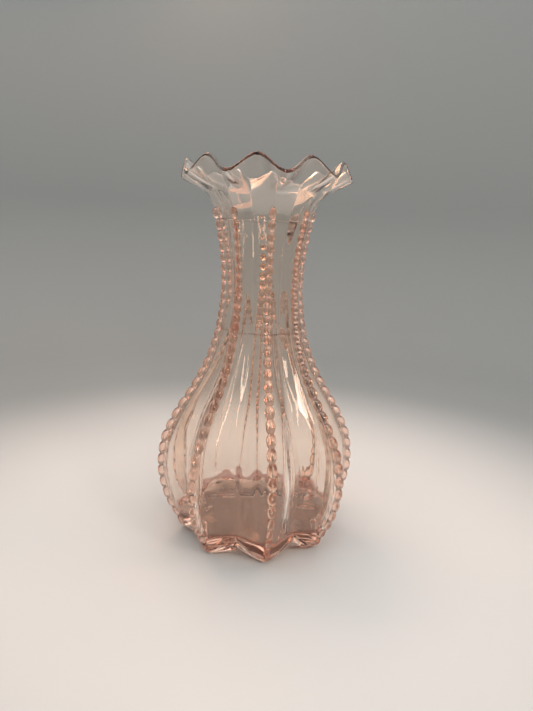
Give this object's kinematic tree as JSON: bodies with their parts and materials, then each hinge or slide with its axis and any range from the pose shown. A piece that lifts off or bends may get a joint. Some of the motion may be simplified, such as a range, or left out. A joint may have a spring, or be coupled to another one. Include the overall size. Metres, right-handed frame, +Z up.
{
  "type": "glass bud vase",
  "caption": "Small clear glass bud vase: ridged bulb on a star foot, slim neck, ruffled flared lip and a string of raised beads up each ridge.",
  "frame": {"origin": "centre of the flat underside that the vase stands on", "axes": "+Z up through the mouth; -Y towards the front, where one beaded ridge points"},
  "size_m": [0.0834, 0.0834, 0.15],
  "materials": {
    "wall_glass": "clear pressed glass with a faint peach tint, fire-polished",
    "foot_glass": "clear pressed glass, thick, so its peach tint shows",
    "bead_glass": "clear pressed glass, small round beads"
  },
  "bodies": {
    "root": {"star_foot": "foot_glass", "bulb": "wall_glass", "neck": "wall_glass", "ruffled_lip": "wall_glass", "bead_rib_1": "bead_glass", "bead_rib_2": "bead_glass", "bead_rib_3": "bead_glass", "bead_rib_4": "bead_glass", "bead_rib_5": "bead_glass", "bead_rib_6": "bead_glass", "bead_rib_7": "bead_glass", "bead_rib_8": "bead_glass"}
  },
  "joints": []
}
